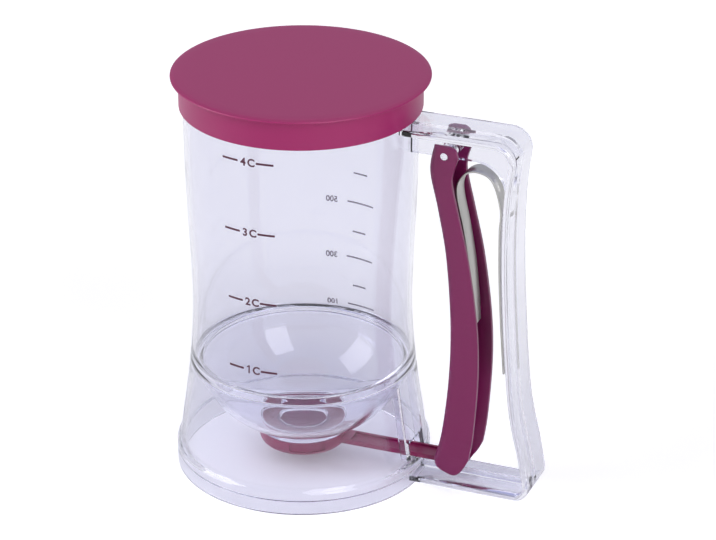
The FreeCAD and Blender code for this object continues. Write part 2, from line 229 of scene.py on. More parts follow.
# Lid. A turned profile stops just short of its axis
AXIS_GAP = 0.01
LID_TOP = box_max("lid", "z")
LID_LOW = box_min("lid", "z")
LID_LIP = box_max("lid", "x")
LID_THICKNESS = 1.4
LID_EDGE = 0.6
LID_BORDER = 5.0
LID_CLEARANCE = 0.2
LID_INSIDE = RIM_RADIUS + LID_CLEARANCE
LID_WALL = 1.3
PLUG_RADIUS = 47.6
PLUG_WALL = 1.2
PLUG_DEPTH = 3.0
LID_BORDER_ROUND = 3.0
LID_CROWN_ROUND = 1.6
LID_LIP_ROUND = 0.5
LID_LIP_UNDER_ROUND = 0.35
LID_SKIRT_ROUND = 0.4
LID_INSIDE_ROUND = 0.3

# Trigger
TRIGGER_HALF = box_max("trigger_lever", "y")
TRIGGER_FOOT = box_min("trigger_lever", "z")
TRIGGER_DROP = PIVOT[1] - TRIGGER_FOOT
CHEEK = 2.0
FINGER_WALL = 2.0
FINGER_ROUND = 4.0
TRIGGER_EDGE = 0.35
TRIGGER_BORE = 1.68
TRIGGER_SWEEP = 16.6
TOE_HEIGHT = 8.5
# Points of the head, out and up from the pivot
HEAD_FRONT = (-5.2, 4.5)
HEAD_TOP = (2.3, 4.5)
HEAD_SHOULDER = (5.1, 3.2)
HEAD_BACK = (6.2, -0.5)
# How far down the trigger, and how much of its sweep its edge is out there
FRONT_EDGE = [(0.0515, -0.428), (0.167, -0.205), (0.3137, 0.036), (0.5205, 0.178), (0.699, 0.145),
              (0.875, -0.03)]
BACK_EDGE = [(0.048, 0.247), (0.0905, 0.223), (0.193, 0.434), (0.3355, 0.723), (0.5205, 0.952),
             (0.679, 1.0), (0.8554, 0.898)]
# How much of its sweep the toe is out, and how much of its height it is up
TOE = [(0.783, 1.0), (0.596, 0.318), (0.343, 0.0), (-0.114, 0.365), (-0.217, 0.788)]

# The channel inside the trigger, and the cuts that open it at the head and the toe
CORE_DEPTH = 40.0
FACE_ABOVE = 20.0
FACE_LOW = -10.0
HOLLOW_DROP = 6.8
HOLLOW_RISE = 6.7
HEAD_GAP_DROP = 6.9
TOE_GAP_RISE = 6.8
TOE_OPEN_TO = 76.4
TOE_FLOOR = 2.0
CUT_FAR = 120.0
CUT_HIGH = 190.0
SLOT_OUT = 3.4
SLOT_MIDDLE = PIVOT[0] + SLOT_OUT
SLOT_HALF = 2.0
SLOT_DEPTH = 1.2
SLOT_LOW = 10.7
SLOT_TOP = 16.0

# Leaf spring, and the ledge in the trigger that its inner leg rests on
SPRING_HALF = box_max("leaf_spring", "y")
SPRING_THICKNESS = 0.8
SPRING_EDGE = 0.25
SPRING_EDGE_STEPS = 2
SPRING_SEAT_GAP = 0.3
SPRING_SEAT = STRAP + GRIP_WEB + SPRING_SEAT_GAP + SPRING_THICKNESS / 2
SPRING_INSET = 6.5
SPRING_TIP = box_min("leaf_spring", "z")
SPRING_INNER_TIP = 81.0
INNER_LEG = [SPRING_INNER_TIP, 95.0, 110.0, 125.0]
ARCH_GAP = 3.0
# Shares of the arch's span and rise, then how far down the outer leg
ARCH = [(0.15, 0.76), (0.44, 1.0), (0.79, 0.7)]
OUTER_LEG = [0.06, 0.2, 0.4, 0.6, 0.8, 1]
LEDGE_RISE = 4.0
LEDGE_HEIGHT = 2.0
LEDGE_GAP = 0.3
LEDGE_LAP = 0.2

# Printed marks: heights in millimetres, and azimuths in degrees
CUP_MARKS = [("4", 163.2), ("3", 130.5), ("2", 97.4), ("1", 64.9)]
CUP_DASHES = [(-107.5, -98.7), (-89.1, -80.4)]
CUP_DIGIT = -95.8
CUP_LETTER = -91.6
CUP_LETTER_HEIGHT = 3.7
FAR_MARKS = [("500", 105.3), ("300", 78.4), ("100", 54.0)]
FAR_TICK = (70.5, 87.5)
FAR_TEXT = 96.5
FAR_LETTER_HEIGHT = 2.9
HALF_MARKS = [119.4, 91.2, 64.1]
HALF_TICK = (75.5, 84.0)
LINE_WIDTH = 0.95
TICK_WIDTH = LINE_WIDTH * 0.8
INK_HALF = 0.02
INK_PROUD = 0.06
TYPE_SIZE = 10.0
TYPE_WEIGHT = 0.3
# The figure one, a bar with a flag, in shares of its height
FIGURE_ONE = [(-0.04, -0.5), (0.13, -0.5), (0.13, 0.5), (0.0, 0.5), (-0.27, 0.33), (-0.27, 0.17),
              (-0.04, 0.29)]


# Materials

def linear(code):
    # An sRGB hex colour as linear RGBA
    parts = [int(code[i:i + 2], 16) / 255 for i in (1, 3, 5)]
    return [p / 12.92 if p <= 0.04045 else ((p + 0.055) / 1.055) ** 2.4 for p in parts] + [1.0]


def add(tree, kind, settings=None, inputs=None):
    # A node with its own settings, and its inputs filled or linked by name or number
    made = tree.nodes.new(kind)
    for name, value in (settings or {}).items():
        setattr(made, name, value)
    for name, value in (inputs or {}).items():
        socket = made.inputs[name]
        if isinstance(value, bpy.types.NodeSocket):
            tree.links.new(value, socket)
        else:
            socket.default_value = value
    return made


def new_material(name):
    made = bpy.data.materials.new(name)
    made.use_nodes = True
    made.node_tree.nodes.clear()
    return made, made.node_tree


def close(tree, shader):
    add(tree, "ShaderNodeOutputMaterial", inputs={"Surface": shader})


def grain(tree, size_mm, depth_mm, detail=2.0):
    # Fine bump of a moulded surface, its grain given in millimetres
    place = add(tree, "ShaderNodeTexCoord")
    noise = add(tree, "ShaderNodeTexNoise", inputs={
        "Vector": place.outputs["Object"], "Scale": 1 / (size_mm * MM), "Detail": detail})
    bump = add(tree, "ShaderNodeBump", inputs={
        "Height": noise.outputs["Fac"], "Strength": 1.0, "Distance": depth_mm * MM})
    return noise, bump


def clear_plastic():
    # SAN, injection moulded and polished: glass-like, with a faint lavender tint and slow ripples
    # 14 mm apart. Lamps shine straight through it, so its shadow is as pale as the real one's
    made, tree = new_material("moulded_clear_san")
    _, bump = grain(tree, 14.0, 0.05, 0.0)
    shader = add(tree, "ShaderNodeBsdfPrincipled", inputs={
        "Base Color": linear("#f4f4fa"), "Roughness": 0.015, "IOR": 1.5, "Transmission Weight": 1.0,
        "Normal": bump.outputs["Normal"]})
    path = add(tree, "ShaderNodeLightPath")
    bright = add(tree, "ShaderNodeBsdfTransparent", inputs={"Color": linear("#f7f7fb")})
    lit = add(tree, "ShaderNodeMixShader", inputs={
        0: path.outputs["Is Shadow Ray"], 1: shader.outputs["BSDF"], 2: bright.outputs["BSDF"]})
    close(tree, lit.outputs["Shader"])
    return made


def satin_plastic(name, colour, deep, roughness):
    # Coloured polypropylene, injection moulded: even colour, a soft sheen and a very fine grain
    made, tree = new_material(name)
    noise, bump = grain(tree, MOULD_GRAIN, MOULD_GRAIN_DEPTH)
    blend = add(tree, "ShaderNodeMix", {"data_type": "RGBA"}, {
        "Factor": noise.outputs["Fac"], "A": linear(deep), "B": linear(colour)})
    shader = add(tree, "ShaderNodeBsdfPrincipled", inputs={
        "Base Color": blend.outputs["Result"], "Roughness": roughness, "IOR": 1.49,
        "Normal": bump.outputs["Normal"]})
    close(tree, shader.outputs["BSDF"])
    return made


def silicone():
    # Silicone rubber, compression moulded: plum, with a soft gloss and slightly milky depth
    made, tree = new_material("moulded_plum_silicone")
    _, bump = grain(tree, 0.8, 0.006)
    shader = add(tree, "ShaderNodeBsdfPrincipled", inputs={
        "Base Color": linear("#6a2a55"), "Roughness": 0.45, "IOR": 1.41, "Subsurface Weight": 0.2,
        "Subsurface Scale": 0.002, "Normal": bump.outputs["Normal"]})
    close(tree, shader.outputs["BSDF"])
    return made


def spring_strip():
    # Stainless spring strip, cold rolled: grey metal with fine lines along the strip
    made, tree = new_material("rolled_stainless_strip")
    along = 1 / (STRIP_LINE_LENGTH * MM)
    across = 1 / (STRIP_LINE_GAP * MM)
    place = add(tree, "ShaderNodeTexCoord")
    stretch = add(tree, "ShaderNodeMapping", inputs={
        "Vector": place.outputs["Object"], "Scale": (along, across, along)})
    lines = add(tree, "ShaderNodeTexNoise", inputs={"Vector": stretch.outputs["Vector"], "Scale": 1.0})
    rough = add(tree, "ShaderNodeMapRange", inputs={
        "Value": lines.outputs["Fac"], "To Min": 0.22, "To Max": 0.42})
    shader = add(tree, "ShaderNodeBsdfPrincipled", inputs={
        "Base Color": linear("#b9b8b2"), "Metallic": 1.0, "Roughness": rough.outputs["Result"]})
    close(tree, shader.outputs["BSDF"])
    return made


def ink(name, colour):
    # Screen-printed ink: flat colour with slightly thin, speckled cover
    made, tree = new_material(name)
    noise, bump = grain(tree, 0.35, 0.01)
    thin = add(tree, "ShaderNodeMapRange", inputs={
        "Value": noise.outputs["Fac"], "To Min": 0.85, "To Max": 1.1})
    tone = add(tree, "ShaderNodeVectorMath", {"operation": "SCALE"}, {
        0: linear(colour)[:3], "Scale": thin.outputs["Result"]})
    shader = add(tree, "ShaderNodeBsdfPrincipled", inputs={
        "Base Color": tone.outputs["Vector"], "Roughness": 0.5, "Normal": bump.outputs["Normal"]})
    close(tree, shader.outputs["BSDF"])
    return made


# Mesh helpers

def mesh_piece(name, bm, material, sharp=SHARP_ANGLE):
    bmesh.ops.recalc_face_normals(bm, faces=bm.faces)
    mesh = bpy.data.meshes.new(name)
    bm.to_mesh(mesh)
    bm.free()
    mesh.materials.append(material)
    made = bpy.data.objects.new(name, mesh)
    bpy.context.collection.objects.link(made)
    smooth_by_angle(made, sharp)
    return made


def smooth_by_angle(piece, degrees):
    for polygon in piece.data.polygons:
        polygon.use_smooth = True
    piece.data.set_sharp_from_angle(angle=math.radians(degrees))


def band(bm, ring, following):
    # Faces between two rings of as many points
    for index in range(len(ring)):
        after = (index + 1) % len(ring)
        bm.faces.new((ring[index], ring[after], following[after], following[index]))


def skin(bm, rings):
    # Faces along a row of rings, closed at both ends
    for ring, following in zip(rings, rings[1:]):
        band(bm, ring, following)
    bm.faces.new(rings[0])
    bm.faces.new(list(reversed(rings[-1])))


def turned(profile):
    # A closed profile of (radius, height) in millimetres, turned about the cup's axis
    bm = bmesh.new()
    rings = []
    for radius, height in profile:
        ring = []
        for step in range(TURNS):
            angle = 2 * math.pi * step / TURNS
            x = radius * math.cos(angle)
            y = radius * math.sin(angle)
            ring.append(bm.verts.new((x * MM, y * MM, height * MM)))
        rings.append(ring)
    for ring, following in zip(rings, rings[1:] + rings[:1]):
        band(bm, ring, following)
    return bm


def rounded(points, radius, steps=4):
    # Corners of a closed outline turned into small arcs, by a point's own third number if it has one
    made = []
    for index, corner in enumerate(points):
        before = Vector(points[index - 1]).to_2d()
        after = Vector(points[(index + 1) % len(points)]).to_2d()
        middle = Vector(corner[:2])
        size = corner[2] if len(corner) > 2 else radius
        back = before - middle
        ahead = after - middle
        reach = min(size, back.length * ROUND_SHARE, ahead.length * ROUND_SHARE)
        if reach < SMALLEST_ROUND:
            made.append(tuple(middle))
            continue
        start = middle + back.normalized() * reach
        end = middle + ahead.normalized() * reach
        for step in range(steps + 1):
            t = step / steps
            made.append(tuple(start * (1 - t) ** 2 + middle * 2 * t * (1 - t) + end * t ** 2))
    return made


def bezier(poles, steps):
    made = []
    for step in range(steps + 1):
        t = step / steps
        weights = [(1 - t) ** 3, 3 * t * (1 - t) ** 2, 3 * t ** 2 * (1 - t), t ** 3]
        made.append(tuple(sum(w * p[axis] for w, p in zip(weights, poles)) for axis in (0, 1)))
    return made


def through(points, steps=10):
    # A smooth line through the points
    made = []
    for index in range(len(points) - 1):
        a = points[max(index - 1, 0)]
        b = points[index]
        c = points[index + 1]
        d = points[min(index + 2, len(points) - 1)]
        for step in range(steps):
            t = step / steps
            made.append(tuple(
                0.5 * (2 * b[k] + (c[k] - a[k]) * t + (2 * a[k] - 5 * b[k] + 4 * c[k] - d[k]) * t ** 2
                       + (3 * b[k] - a[k] - 3 * c[k] + d[k]) * t ** 3) for k in (0, 1)))
    made.append(tuple(points[-1]))
    return made


def arc(x, z, radius, start, end, steps=10):
    made = []
    for step in range(steps + 1):
        turn = math.radians(start + (end - start) * step / steps)
        made.append((x + radius * math.cos(turn), z + radius * math.sin(turn)))
    return made


def plate(outline, half, middle=0.0):
    # A closed XZ outline in millimetres, given thickness across Y
    bm = bmesh.new()
    near = [bm.verts.new((x * MM, (middle - half) * MM, z * MM)) for x, z in outline]
    far = [bm.verts.new((x * MM, (middle + half) * MM, z * MM)) for x, z in outline]
    bm.faces.new(near)
    bm.faces.new(list(reversed(far)))
    for index in range(len(outline)):
        after = (index + 1) % len(outline)
        bm.faces.new((near[index], far[index], far[after], near[after]))
    return bm


def swept(path, section):
    # A section of (across, out) swept along an XZ path, in millimetres
    bm = bmesh.new()
    rings = []
    for index, point in enumerate(path):
        before = Vector(path[max(index - 1, 0)])
        after = Vector(path[min(index + 1, len(path) - 1)])
        along = (after - before).normalized()
        out = Vector((-along.y, along.x))
        rings.append([bm.verts.new(((point[0] + out.x * o) * MM, a * MM, (point[1] + out.y * o) * MM))
                      for a, o in section])
    skin(bm, rings)
    return bm


def cylinder(x, z, radius, half):
    outline = []
    for step in range(CYLINDER_TURNS):
        turn = 2 * math.pi * step / CYLINDER_TURNS
        outline.append((x + radius * math.cos(turn), z + radius * math.sin(turn)))
    return plate(outline, half)


def block(x0, x1, y_half, z0, z1):
    return plate([(x0, z0), (x1, z0), (x1, z1), (x0, z1)], y_half)


def settle(piece, change):
    # The modifier's result becomes the piece's own mesh
    bpy.context.view_layer.update()
    result = bpy.data.meshes.new_from_object(piece.evaluated_get(bpy.context.evaluated_depsgraph_get()))
    piece.modifiers.remove(change)
    old = piece.data
    piece.data = result
    bpy.data.meshes.remove(old)


def combine(piece, tool, operation):
    change = piece.modifiers.new(operation, "BOOLEAN")
    change.operation = operation
    change.solver = "EXACT"
    change.object = tool
    settle(piece, change)
    bpy.data.objects.remove(tool)


def soften(piece, width):
    # Small rounds on the moulded edges
    change = piece.modifiers.new("edges", "BEVEL")
    change.width = width * MM
    change.segments = 2
    change.limit_method = "ANGLE"
    change.angle_limit = math.radians(BEVEL_ANGLE)
    change.use_clamp_overlap = True
    settle(piece, change)
    smooth_by_angle(piece, SHARP_ANGLE)


# Clear jug

def outside(inset, steps):
    # The wall's profile from rim to foot, drawn in by the inset
    rim = RIM_RADIUS - inset
    waist = WAIST_RADIUS - inset
    flare = FLARE_RADIUS - inset
    upper = bezier([(rim, RIM_HEIGHT), (rim, RIM_HEIGHT - RIM_PULL), (waist, WAIST_HEIGHT + WAIST_PULL_UP),
                    (waist, WAIST_HEIGHT)], steps)
    lower = bezier([(waist, WAIST_HEIGHT), (waist, WAIST_HEIGHT - WAIST_PULL_DOWN),
                    (flare - FLARE_SLOPE * FLARE_PULL, FOOT_HEIGHT + FLARE_PULL),
                    (flare, FOOT_HEIGHT)], steps)
    return upper + lower[1:]


def wall_radius(height):
    # How far the outside is from the axis at a height
    line = outside(0, FINE_WALL_STEPS)
    for (r0, z0), (r1, z1) in zip(line, line[1:]):
        if z1 <= height <= z0:
            return r0 + (r1 - r0) * (z0 - height) / (z0 - z1)
    return RIM_RADIUS


def bowl_line(inset, reach_from, reach_to):
    # The bowl's curve between two distances from the axis, drawn in by the inset
    radius = BOWL_RADIUS - inset
    depth = BOWL_DEPTH - inset
    start = math.acos(reach_from / radius)
    end = math.acos(reach_to / radius)
    made = []
    for step in range(BOWL_STEPS + 1):
        turn = start + (end - start) * step / BOWL_STEPS
        made.append((radius * math.cos(turn), BOWL_RIM - depth * math.sin(turn)))
    return made


def unrounded(points):
    return [(radius, height, 0.0) for radius, height in points]


def jug_profile():
    # Down the outside, under the foot, up inside the skirt, under the bowl and through the outlet,
    # then over the bowl and up inside the cup. Each point has the rounding of its corner
    lining = outside(WALL, WALL_STEPS)
    cup_lining = [p for p in lining if p[1] > SHOULDER_TOP + SHOULDER_LEAD]
    skirt_lining = [p for p in lining if p[1] < SHOULDER_BOTTOM - SHOULDER_LEAD]
    foot_step = FOOT_RADIUS - FLARE_RADIUS
    foot_inside = FOOT_RADIUS - FOOT_WALL
    bowl_inside = BOWL_RADIUS - WALL
    # Where the outlet's flat floor meets the inside of the bowl
    dip = (BOWL_RIM - SEAT_FLOOR_TOP) / (BOWL_DEPTH - WALL)
    floor_reach = bowl_inside * math.sqrt(1 - dip ** 2)

    profile = [(RIM_RADIUS, RIM_HEIGHT, RIM_ROUND)]
    profile += unrounded(outside(0, WALL_STEPS)[1:-1])
    profile += [(FLARE_RADIUS, FOOT_HEIGHT, FLARE_ROUND),
                (FOOT_RADIUS, FOOT_HEIGHT - foot_step, FOOT_TOP_ROUND),
                (FOOT_RADIUS, 0.0, FOOT_EDGE_ROUND), (foot_inside, 0.0, FOOT_EDGE_ROUND),
                (foot_inside, FOOT_RECESS, RECESS_ROUND), (FLARE_RADIUS - WALL, FOOT_RECESS, RECESS_ROUND)]
    profile += unrounded(reversed(skirt_lining))
    profile += [(skirt_lining[0][0] - SKIRT_LEAD, SHOULDER_BOTTOM, SHOULDER_ROUND),
                (BOWL_RADIUS, SHOULDER_BOTTOM, BOWL_UNDER_ROUND)]
    profile += unrounded(bowl_line(0, BOWL_RADIUS - BOWL_LEAD, SEAT_RADIUS + SEAT_LEAD))
    profile += [(SEAT_RADIUS, SEAT_BOTTOM + SEAT_STEP, SEAT_TOP_ROUND),
                (SEAT_RADIUS, SEAT_BOTTOM, SEAT_ROUND), (OUTLET_RADIUS, SEAT_BOTTOM, OUTLET_LOW_ROUND),
                (OUTLET_RADIUS, SEAT_FLOOR_TOP, OUTLET_TOP_ROUND),
                (floor_reach - FLOOR_LEAD, SEAT_FLOOR_TOP, SEAT_ROUND)]
    profile += unrounded(bowl_line(WALL, floor_reach + FLOOR_CURVE_LEAD, bowl_inside - BOWL_INSIDE_LEAD))
    profile += [(bowl_inside, BOWL_RIM, BOWL_RIM_ROUND),
                (cup_lining[-1][0] - CUP_LEAD, SHOULDER_TOP, SHOULDER_ROUND)]
    profile += unrounded(reversed(cup_lining[1:]))
    profile += [(RIM_RADIUS - WALL, RIM_HEIGHT, RIM_ROUND)]
    return rounded(profile, 0.0)


def grip_points(shift):
    # The grip's line from top to heel, shifted in towards the cup
    height = GRIP_HIGH - GRIP_LOW
    points = [(GRIP_REACH + GRIP_TOP_FLARE - shift, GRIP_HIGH)]
    points += [(GRIP_REACH + out - shift, GRIP_LOW + share * height) for share, out in GRIP_BOW]
    points.append((GRIP_REACH + GRIP_HEEL_FLARE - shift, GRIP_LOW))
    return through(points)


def loop_path(shift, top_end, bottom_end):
    # Out along the top arm, down the grip without its ends, and back along the bottom arm
    corner_x = GRIP_REACH + GRIP_TOP_FLARE - CORNER_RADIUS
    heel_x = GRIP_REACH + GRIP_HEEL_FLARE - HEEL_RADIUS
    path = [(top_end, HANDLE_TOP - shift), (corner_x - ARM_RUN, HANDLE_TOP - shift)]
    path += arc(corner_x, GRIP_HIGH, CORNER_RADIUS - shift, 90, GRIP_LEAN)
    path += grip_points(shift)[2:-2]
    path += arc(heel_x, GRIP_LOW, HEEL_RADIUS - shift, -GRIP_LEAN, -90)
    path += [(heel_x - ARM_RUN, HANDLE_BOTTOM + shift), (bottom_end, HANDLE_BOTTOM + shift)]
    return path


def web_outline():
    # Deep under the top arm, rounded into a web down the grip, and a low rib on the bottom arm
    inner = grip_points(STRAP + GRIP_WEB)
    corner_z = WEB_BOTTOM - WEB_CORNER
    down = [p for p in inner if GRIP_LOW + WEB_HEEL < p[1] < corner_z]
    corner_x = down[0][0] + WEB_CORNER_LAP
    heel_x = down[-1][0]
    rib_top = HANDLE_BOTTOM + STRAP + RIB
    outline = [(WEB_ROOT_TOP, WEB_BOTTOM)]
    outline += arc(corner_x - WEB_CORNER, corner_z, WEB_CORNER, 90, 0, WEB_CORNER_STEPS)
    outline += down
    outline += [(heel_x + WEB_HEEL_OUT, GRIP_LOW + WEB_HEEL_RISE),
                (heel_x - WEB_HEEL_OUT, rib_top + RIB_SWELL),
                (heel_x - WEB_HEEL, rib_top), (WEB_ROOT_LOW, rib_top)]
    middle = loop_path(STRAP / 2, WEB_ROOT_TOP, WEB_ROOT_LOW)
    return outline + list(reversed(middle))


def strap_section():
    half = STRAP / 2
    corners = [(-HANDLE_HALF, -half), (HANDLE_HALF, -half), (HANDLE_HALF, half), (-HANDLE_HALF, half)]
    return rounded(corners, STRAP_EDGE, STRAP_EDGE_STEPS)


def jamb(side, material):
    # A thin post inside the skirt, beside the window
    line = [p for p in outside(WALL / 2, WALL_STEPS) if FOOT_HEIGHT <= p[1] <= SHOULDER_BOTTOM - JAMB_SHORT]
    outline = [(r - (WALL / 2 - JAMB_LAP), z) for r, z in line]
    outline += [(r - WALL / 2 - JAMB_DEPTH, z) for r, z in reversed(line)]
    return mesh_piece("jamb", plate(outline, JAMB / 2, side * (WINDOW_HALF + JAMB / 2)), material)


def make_jug(material):
    jug = mesh_piece("clear_jug", turned(jug_profile()), material)
    strap_path = loop_path(STRAP / 2, STRAP_ROOT_TOP, STRAP_ROOT_LOW)
    strap = mesh_piece("strap", swept(strap_path, strap_section()), material)
    web = mesh_piece("web", plate(web_outline(), WEB_HALF), material)
    boss = mesh_piece("boss", cylinder(*PIVOT, BOSS_RADIUS, BOSS_HALF), material)
    bore = mesh_piece("bore", cylinder(*PIVOT, JUG_BORE, BORE_HALF), material)
    opening = block(WINDOW_NEAR, WINDOW_FAR, WINDOW_HALF, FOOT_HEIGHT, WINDOW_TOP)
    window = mesh_piece("window", opening, material)
    jambs = [jamb(side, material) for side in (-1, 1)]
    combine(jug, window, "DIFFERENCE")
    for post in jambs:
        combine(jug, post, "UNION")
    combine(strap, web, "UNION")
    combine(strap, boss, "UNION")
    combine(jug, strap, "UNION")
    combine(jug, bore, "DIFFERENCE")
    smooth_by_angle(jug, JUG_SHARP_ANGLE)
    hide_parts("cup_wall", "shoulder_ring", "bowl_wall", "bowl_base", "outlet_seat", "base_skirt",
                "foot_band", "window_jambs", "handle_top_arm", "handle_corner", "handle_grip", "handle_heel",
                "handle_bottom_arm")
    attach(jug, "jug")


# Lid

def make_lid(material):
    # A slightly crowned top with a lip, a skirt outside the cup's rim and a plug rib inside it
    under = LID_TOP - LID_THICKNESS
    skirt = LID_INSIDE + LID_WALL
    plug = PLUG_RADIUS - PLUG_WALL
    plug_low = under - PLUG_DEPTH
    profile = [(AXIS_GAP, LID_TOP, 0.0), (LID_LIP - LID_BORDER, LID_TOP, LID_BORDER_ROUND),
               (LID_LIP - LID_BORDER / 3, LID_TOP - LID_EDGE / 4, LID_CROWN_ROUND),
               (LID_LIP, LID_TOP - LID_EDGE, LID_LIP_ROUND), (LID_LIP, under, LID_LIP_UNDER_ROUND),
               (skirt, under, LID_LIP_ROUND), (skirt, LID_LOW, LID_SKIRT_ROUND),
               (LID_INSIDE, LID_LOW, LID_INSIDE_ROUND), (LID_INSIDE, under, LID_INSIDE_ROUND),
               (PLUG_RADIUS, under, LID_INSIDE_ROUND), (PLUG_RADIUS, plug_low, LID_SKIRT_ROUND),
               (plug, plug_low, LID_SKIRT_ROUND), (plug, under, LID_INSIDE_ROUND), (AXIS_GAP, under, 0.0)]
    lid = mesh_piece("push_on_lid", turned(rounded(profile, 0.0)), material, LID_SHARP_ANGLE)
    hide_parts("lid")
    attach(lid, "lid_cap")


# Trigger

def head_point(place, shift=0.0):
    return PIVOT[0] + place[0] + shift, PIVOT[1] + place[1]


def edge_point(down, out, shift=0.0):
    return PIVOT[0] + out * TRIGGER_SWEEP + shift, PIVOT[1] - down * TRIGGER_DROP


def toe_point(out, up, shift=0.0):
    return PIVOT[0] + out * TRIGGER_SWEEP + shift, TRIGGER_FOOT + up * TOE_HEIGHT


def front_line(shift):
    # The edge that the fingers pull, shifted in towards the grip
    points = [head_point(HEAD_FRONT, shift)]
    points += [edge_point(down, out, shift) for down, out in FRONT_EDGE]
    points.append(toe_point(*TOE[-1], shift))
    return through(points)


def back_line():
    points = [head_point(HEAD_BACK)]
    points += [edge_point(down, out) for down, out in BACK_EDGE]
    points.append(toe_point(*TOE[0]))
    return through(points)


def lever_outline():
    toe = through([toe_point(*place) for place in TOE], TOE_STEPS)
    head = [head_point(HEAD_TOP), head_point(HEAD_SHOULDER)]
    return head + back_line() + toe[1:-1] + list(reversed(front_line(0.0)))


def reach_at(line, height):
    for (x0, z0), (x1, z1) in zip(line, line[1:]):
        if min(z0, z1) <= height <= max(z0, z1):
            return x0 + (x1 - x0) * (height - z0) / (z1 - z0)
    return line[-1][0]


def lever_core(shift, half, corner, name, material, top, low):
    # A long rounded bar that follows the lever's front, used to round its face and to hollow it
    front = [p for p in front_line(shift) if low < p[1] < top]
    front = [(front[0][0], top)] + front + [(front[-1][0], low)]
    section = rounded([(-half, -CORE_DEPTH, 0.0), (half, -CORE_DEPTH, 0.0), (half, 0.0, corner),
                       (-half, 0.0, corner)], 0.0, CORE_ROUND_STEPS)
    bm = bmesh.new()
    rings = [[bm.verts.new(((x - o) * MM, a * MM, z * MM)) for a, o in section] for x, z in front]
    skin(bm, rings)
    return mesh_piece(name, bm, material)


def toe_gap_outline():
    # The arm comes in through the front of the toe, which keeps a floor at its back
    top = TRIGGER_FOOT + TOE_GAP_RISE
    floor = TRIGGER_FOOT + TOE_FLOOR
    return [(0, top), (0, 0), (TOE_OPEN_TO, 0), (TOE_OPEN_TO, floor), (CUT_FAR, floor), (CUT_FAR, top)]


def inner_leg(height):
    # Where the spring's inner leg is at a height, inside the trigger's back edge
    return reach_at(back_line(), height) - SPRING_INSET * (PIVOT[1] - height) / TRIGGER_DROP


def ledge(inside, material):
    # A rib across the channel, which the spring's inner leg rests on
    top = SPRING_INNER_TIP + LEDGE_RISE
    front = reach_at(front_line(FINGER_WALL / 2), top)
    back = inner_leg(top) - SPRING_THICKNESS / 2 - LEDGE_GAP
    return mesh_piece("ledge", block(front, back, inside + LEDGE_LAP, top - LEDGE_HEIGHT, top), material)


def make_trigger(material):
    lever = mesh_piece("trigger", plate(lever_outline(), TRIGGER_HALF), material)
    inside = TRIGGER_HALF - CHEEK
    face = lever_core(0.0, TRIGGER_HALF, FINGER_ROUND, "face", material, PIVOT[1] + FACE_ABOVE, FACE_LOW)
    hollow = lever_core(FINGER_WALL, inside, FINGER_ROUND - FINGER_WALL, "hollow", material,
                        PIVOT[1] - HOLLOW_DROP, TRIGGER_FOOT + HOLLOW_RISE)
    head_cut = block(0.0, CUT_FAR, inside, PIVOT[1] - HEAD_GAP_DROP, CUT_HIGH)
    head_gap = mesh_piece("head_gap", head_cut, material)
    toe_gap = mesh_piece("toe_gap", plate(toe_gap_outline(), inside), material)
    bore = mesh_piece("bore", cylinder(*PIVOT, TRIGGER_BORE, BORE_HALF), material)
    slot_cut = block(SLOT_MIDDLE - SLOT_HALF, SLOT_MIDDLE + SLOT_HALF, inside + SLOT_DEPTH,
                     SLOT_LOW, SLOT_TOP)
    slots = mesh_piece("slots", slot_cut, material)
    combine(lever, face, "INTERSECT")
    for tool in (hollow, head_gap, toe_gap, bore, slots):
        combine(lever, tool, "DIFFERENCE")
    combine(lever, ledge(inside, material), "UNION")
    soften(lever, TRIGGER_EDGE)
    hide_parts("trigger_lever")
    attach(lever, "trigger")


# Leaf spring

def spring_line():
    # Inner leg in the trigger, arch under the web, and outer leg down the grip
    outer = grip_points(SPRING_SEAT)
    arch_top = WEB_BOTTOM - ARCH_GAP - SPRING_THICKNESS / 2
    arch_low = WEB_BOTTOM - WEB_CORNER
    rise = arch_top - arch_low
    start = inner_leg(arch_low)
    span = reach_at(outer, arch_low) - start
    drop = arch_low - SPRING_TIP
    points = [(inner_leg(height), height) for height in INNER_LEG]
    points.append((start, arch_low))
    points += [(start + across * span, arch_low + up * rise) for across, up in ARCH]
    for share in OUTER_LEG:
        height = arch_low - share * drop
        points.append((reach_at(outer, height), height))
    return through(points)


def make_spring(material):
    half = SPRING_THICKNESS / 2
    corners = [(-SPRING_HALF, -half), (SPRING_HALF, -half), (SPRING_HALF, half), (-SPRING_HALF, half)]
    section = rounded(corners, SPRING_EDGE, SPRING_EDGE_STEPS)
    spring = mesh_piece("spring_strip", swept(spring_line(), section), material)
    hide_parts("leaf_spring")
    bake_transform(spring)


# Printed marks

def wrapped(name, flat, azimuth, height, material):
    # Flat (across, up, out) points in millimetres laid on the cup's outside
    for vertex in flat.data.vertices:
        across, up, out = vertex.co
        radius = wall_radius(height + up) + INK_PROUD + out
        turn = math.radians(azimuth) + across / radius
        vertex.co = Vector((radius * math.cos(turn), radius * math.sin(turn), height + up)) * MM
    flat.name = name
    flat.data.materials.clear()
    flat.data.materials.append(material)
    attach(flat, "jug")


